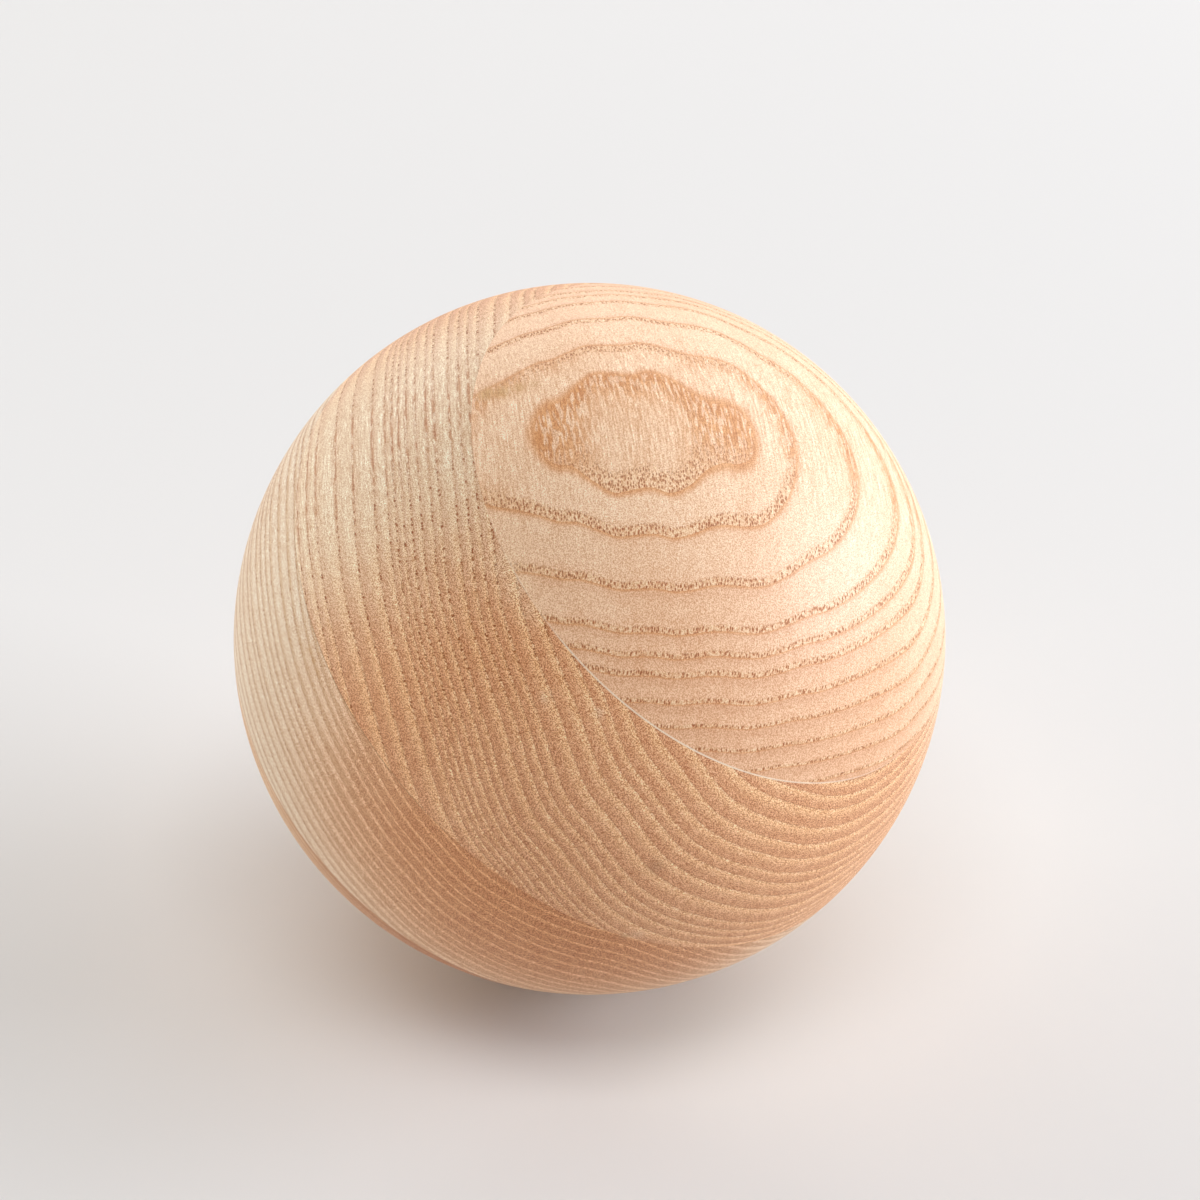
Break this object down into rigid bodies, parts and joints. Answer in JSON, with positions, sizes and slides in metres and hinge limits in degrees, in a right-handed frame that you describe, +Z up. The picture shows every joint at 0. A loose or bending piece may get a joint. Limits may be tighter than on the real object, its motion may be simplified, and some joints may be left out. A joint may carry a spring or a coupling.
{
  "type": "wooden ball",
  "caption": "Turned ball of pale ash, glued up from flat boards whose joints cross it at a slant; smooth, solid and free to roll.",
  "frame": {"origin": "centre of the ball", "axes": "+Z up with the ball lying on a table; the stack of boards leans 40 degrees from +Z, towards +X and a little towards -Y"},
  "size_m": [0.09, 0.09, 0.09],
  "materials": {
    "top_wood": "bare ash, sanded smooth, flat-sawn face",
    "upper_middle_wood": "bare ash, sanded smooth, close stripes",
    "lower_middle_wood": "bare ash, sanded smooth, close stripes",
    "bottom_wood": "bare ash, sanded smooth"
  },
  "bodies": {
    "root": {"top_board": "top_wood", "upper_middle_board": "upper_middle_wood", "lower_middle_board": "lower_middle_wood", "bottom_board": "bottom_wood"}
  },
  "joints": []
}
